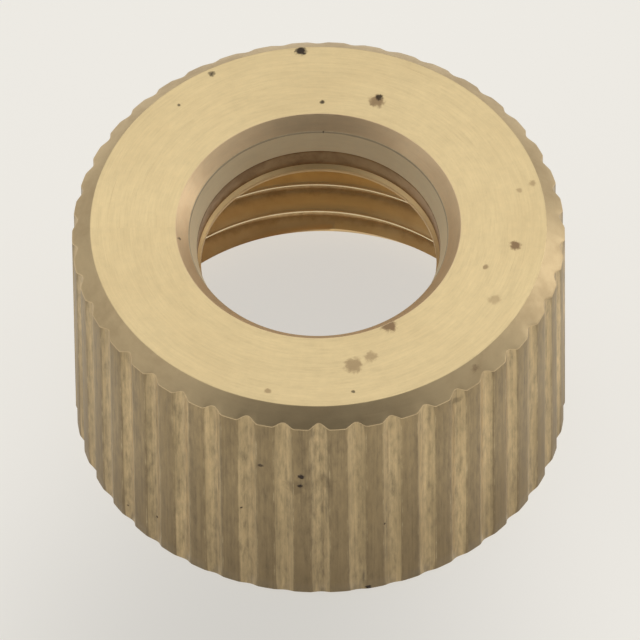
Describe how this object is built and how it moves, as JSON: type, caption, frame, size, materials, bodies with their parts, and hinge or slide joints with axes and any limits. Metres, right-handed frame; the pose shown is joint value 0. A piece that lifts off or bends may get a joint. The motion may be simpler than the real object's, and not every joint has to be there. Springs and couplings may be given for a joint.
{
  "type": "knurled union nut",
  "caption": "Round knurled union nut, turned from brass: a flat flange with a stepped hole closes one end and a large internal thread opens at the other.",
  "frame": {"origin": "centre of the rim of the threaded mouth, which the nut stands on", "axes": "+Z along the axis of the nut, from the threaded mouth out through the flange face; +X and +Y across it"},
  "size_m": [0.0225, 0.0224, 0.0131],
  "materials": {
    "brass": "plain turned brass, satin, with fine concentric tool marks and light tarnish"
  },
  "bodies": {
    "root": {"knurled_nut": "brass"}
  },
  "joints": []
}
